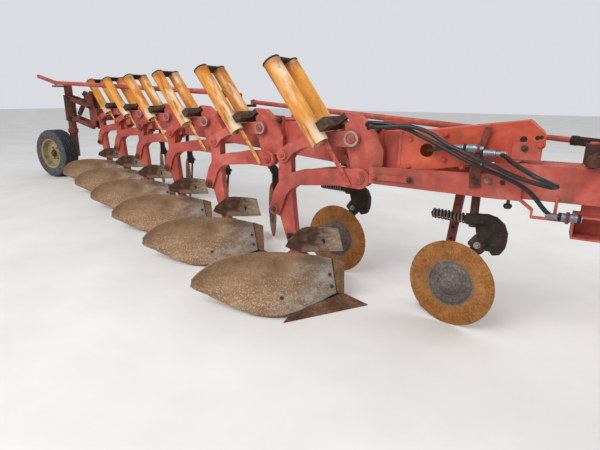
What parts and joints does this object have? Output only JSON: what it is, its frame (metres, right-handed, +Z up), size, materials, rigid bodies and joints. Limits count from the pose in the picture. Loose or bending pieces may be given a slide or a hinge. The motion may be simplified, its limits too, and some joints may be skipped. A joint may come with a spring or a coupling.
{
  "type": "semi-mounted moldboard plough",
  "caption": "Long diagonal-beam moldboard plough with spring-reset bottoms, disc coulters, a steered tail wheel and a lower-link hitch.",
  "frame": {"origin": "on the ground under the middle of the plough's outer box", "axes": "+X forwards in the direction of travel, +Y to the left, +Z up"},
  "size_m": [8.7199, 3.5514, 1.5916],
  "materials": {
    "paint": "faded coral red paint, chalky and grimy",
    "box_paint": "orange red paint, scuffed",
    "tube_ochre": "ochre rust over cream paint",
    "rusty_iron": "dark brown rust",
    "dark_iron": "dark oily iron",
    "worn_steel": "worn steel with speckled rust",
    "disc_rust": "orange brown rust",
    "coupler_silver": "dull zinc",
    "rim_cream": "cream paint with rust",
    "tyre": "weathered rubber",
    "hose_rubber": "black hose with a grey sheen"
  },
  "bodies": {
    "frame": {"main_beam": "paint", "front_box": "box_paint", "side_rail": "paint", "tongue": "paint", "unit_brackets": "paint", "pivot_pins": "paint", "heel_bolts": "dark_iron", "goosenecks": "paint", "standards": "paint", "rocker_arms": "paint", "spring_tubes": "tube_ochre", "tube_caps": "dark_iron", "spring_seats": "rusty_iron", "reset_rods": "tube_ochre", "frogs": "rusty_iron", "moldboards": "worn_steel", "shins": "worn_steel", "shares": "rusty_iron", "landsides": "rusty_iron", "cover_boards": "rusty_iron", "coulter_clamps": "rusty_iron", "rear_bracket": "rusty_iron", "stand_socket": "paint", "hose_holder": "rusty_iron", "couplers": "coupler_silver", "hoses": "hose_rubber"},
    "coulter_arm_1": {"coulter_arm_1": "dark_iron"},
    "coulter_disc_1": {"coulter_disc_1": "disc_rust"},
    "coulter_arm_2": {"coulter_arm_2": "dark_iron"},
    "coulter_disc_2": {"coulter_disc_2": "disc_rust"},
    "coulter_arm_3": {"coulter_arm_3": "dark_iron"},
    "coulter_disc_3": {"coulter_disc_3": "disc_rust"},
    "coulter_arm_4": {"coulter_arm_4": "dark_iron"},
    "coulter_disc_4": {"coulter_disc_4": "disc_rust"},
    "coulter_arm_5": {"coulter_arm_5": "dark_iron"},
    "coulter_disc_5": {"coulter_disc_5": "disc_rust"},
    "coulter_arm_6": {"coulter_arm_6": "dark_iron"},
    "coulter_disc_6": {"coulter_disc_6": "disc_rust"},
    "tail_link_upper": {"tail_link_upper": "rusty_iron"},
    "tail_link_lower": {"tail_link_lower": "rusty_iron"},
    "tail_carrier": {"tail_carrier": "rusty_iron"},
    "tail_cylinder": {"tail_cylinder": "rusty_iron"},
    "tail_cylinder_rod": {"tail_cylinder_rod": "worn_steel"},
    "tail_post": {"tail_post": "rusty_iron"},
    "tail_wheel": {"tail_rim": "rim_cream", "tail_tyre": "tyre"},
    "steer_rod_rear": {"steer_rod_rear": "paint"},
    "steer_swivel": {"steer_swivel": "dark_iron"},
    "steer_idler": {"steer_idler": "dark_iron"},
    "steer_rod_front": {"steer_rod_front": "paint"},
    "steer_crank": {"steer_crank": "rusty_iron"},
    "drag_link": {"drag_link": "rusty_iron"},
    "hitch_head": {"hitch_head": "paint"},
    "parking_stand": {"parking_stand": "rusty_iron"}
  },
  "joints": [
    {"name": "hitch_yaw", "type": "hinge", "parent": "frame", "child": "hitch_head", "pos_m": [4.14998, -1.16322, 0.895], "axis": [0, 0, 1], "range_deg": [-20, 20]},
    {"name": "crank_turn", "type": "hinge", "parent": "frame", "child": "steer_crank", "pos_m": [3.26998, -1.16322, 1.04], "axis": [0, 0, 1], "range_deg": [-20, 20]},
    {"name": "drag_link_turn", "type": "hinge", "parent": "steer_crank", "child": "drag_link", "pos_m": [3.26998, -1.28322, 1.025], "axis": [0, 0, 1], "range_deg": [-20, 20]},
    {"name": "front_rod_turn", "type": "hinge", "parent": "steer_crank", "child": "steer_rod_front", "pos_m": [3.35045, -1.00221, 1.07], "axis": [0, 0, 1], "range_deg": [-20, 20]},
    {"name": "idler_turn", "type": "hinge", "parent": "frame", "child": "steer_idler", "pos_m": [0.09768, 0.42233, 1.25], "axis": [0, 0, 1], "range_deg": [-20, 20]},
    {"name": "rear_swivel_turn", "type": "hinge", "parent": "steer_idler", "child": "steer_swivel", "pos_m": [0.06562, 0.2452, 1.316], "axis": [0, 0, 1], "range_deg": [-20, 20]},
    {"name": "rear_rod_pitch", "type": "hinge", "parent": "steer_swivel", "child": "steer_rod_rear", "pos_m": [0.06562, 0.2452, 1.316], "axis": [-0.1781, -0.984, 0], "range_deg": [0, 4.73]},
    {"name": "tail_lift", "type": "hinge", "parent": "frame", "child": "tail_link_lower", "pos_m": [-3.16498, 1.11688, 0.806], "axis": [0, -1, 0], "range_deg": [0, 38]},
    {"name": "upper_link_turn", "type": "hinge", "parent": "frame", "child": "tail_link_upper", "pos_m": [-3.16498, 1.11688, 1.103], "axis": [0, -1, 0], "range_deg": [0, 38]},
    {"name": "carrier_turn", "type": "hinge", "parent": "tail_link_lower", "child": "tail_carrier", "pos_m": [-3.64498, 1.11688, 0.931], "axis": [0, -1, 0], "range_deg": [-38, 0]},
    {"name": "cylinder_turn", "type": "hinge", "parent": "frame", "child": "tail_cylinder", "pos_m": [-3.27998, 1.11688, 1.29], "axis": [0, -1, 0], "range_deg": [0, 16.04]},
    {"name": "cylinder_extend", "type": "slide", "parent": "tail_cylinder", "child": "tail_cylinder_rod", "axis": [-0.6389, 0, -0.7693], "range_m": [0, 0.2411]},
    {"name": "tail_steer", "type": "hinge", "parent": "tail_carrier", "child": "tail_post", "pos_m": [-3.73998, 1.11688, 1.095], "axis": [0, 0, 1], "range_deg": [-20, 20]},
    {"name": "tail_wheel_spin", "type": "hinge", "parent": "tail_post", "child": "tail_wheel", "pos_m": [-3.88998, 0.88688, 0.371], "axis": [0, 1, 0], "continuous": true},
    {"name": "stand_slide", "type": "slide", "parent": "frame", "child": "parking_stand", "axis": [0.0976, 0, 0.9952], "range_m": [0, 0.3]},
    {"name": "coulter_swivel_1", "type": "hinge", "parent": "frame", "child": "coulter_arm_1", "pos_m": [2.78298, -1.16322, 0.666], "axis": [0, 0, 1], "range_deg": [-7, 33]},
    {"name": "coulter_spin_1", "type": "hinge", "parent": "coulter_arm_1", "child": "coulter_disc_1", "pos_m": [2.69334, -1.14252, 0.254], "axis": [0.225, 0.9744, 0], "continuous": true},
    {"name": "coulter_swivel_2", "type": "hinge", "parent": "frame", "child": "coulter_arm_2", "pos_m": [1.86498, -0.70622, 0.666], "axis": [0, 0, 1], "range_deg": [-50, 70]},
    {"name": "coulter_spin_2", "type": "hinge", "parent": "coulter_arm_2", "child": "coulter_disc_2", "pos_m": [1.77438, -0.69024, 0.254], "axis": [0.1736, 0.9848, 0], "continuous": true},
    {"name": "coulter_swivel_3", "type": "hinge", "parent": "frame", "child": "coulter_arm_3", "pos_m": [0.94698, -0.24922, 0.666], "axis": [0, 0, 1], "range_deg": [-10, 110]},
    {"name": "coulter_spin_3", "type": "hinge", "parent": "coulter_arm_3", "child": "coulter_disc_3", "pos_m": [0.88784, -0.17874, 0.254], "axis": [0.766, 0.6428, 0], "continuous": true},
    {"name": "coulter_swivel_4", "type": "hinge", "parent": "frame", "child": "coulter_arm_4", "pos_m": [0.02898, 0.20778, 0.666], "axis": [0, 0, 1], "range_deg": [-16, 104]},
    {"name": "coulter_spin_4", "type": "hinge", "parent": "coulter_arm_4", "child": "coulter_disc_4", "pos_m": [-0.0372, 0.27169, 0.254], "axis": [0.6947, 0.7193, 0], "continuous": true},
    {"name": "coulter_swivel_5", "type": "hinge", "parent": "frame", "child": "coulter_arm_5", "pos_m": [-0.88902, 0.66478, 0.666], "axis": [0, 0, 1], "range_deg": [-20, 100]},
    {"name": "coulter_spin_5", "type": "hinge", "parent": "coulter_arm_5", "child": "coulter_disc_5", "pos_m": [-0.9595, 0.72392, 0.254], "axis": [0.6428, 0.766, 0], "continuous": true},
    {"name": "coulter_swivel_6", "type": "hinge", "parent": "frame", "child": "coulter_arm_6", "pos_m": [-1.80702, 1.12178, 0.666], "axis": [0, 0, 1], "range_deg": [-22, 98]},
    {"name": "coulter_spin_6", "type": "hinge", "parent": "coulter_arm_6", "child": "coulter_disc_6", "pos_m": [-1.87952, 1.17842, 0.254], "axis": [0.6157, 0.788, 0], "continuous": true}
  ],
  "couplings": [
    {"joint": "crank_turn", "follows": "hitch_yaw", "ratio": -1},
    {"joint": "drag_link_turn", "follows": "hitch_yaw", "ratio": 1},
    {"joint": "front_rod_turn", "follows": "hitch_yaw", "ratio": 1},
    {"joint": "idler_turn", "follows": "hitch_yaw", "ratio": -1},
    {"joint": "rear_swivel_turn", "follows": "hitch_yaw", "ratio": 1},
    {"joint": "rear_rod_pitch", "follows": "tail_lift", "ratio": 0.12445},
    {"joint": "upper_link_turn", "follows": "tail_lift", "ratio": 1},
    {"joint": "carrier_turn", "follows": "tail_lift", "ratio": -1},
    {"joint": "cylinder_turn", "follows": "tail_lift", "ratio": 0.418},
    {"joint": "cylinder_extend", "follows": "tail_lift", "m_per_rad": 0.3605},
    {"joint": "tail_steer", "follows": "hitch_yaw", "ratio": -1}
  ]
}
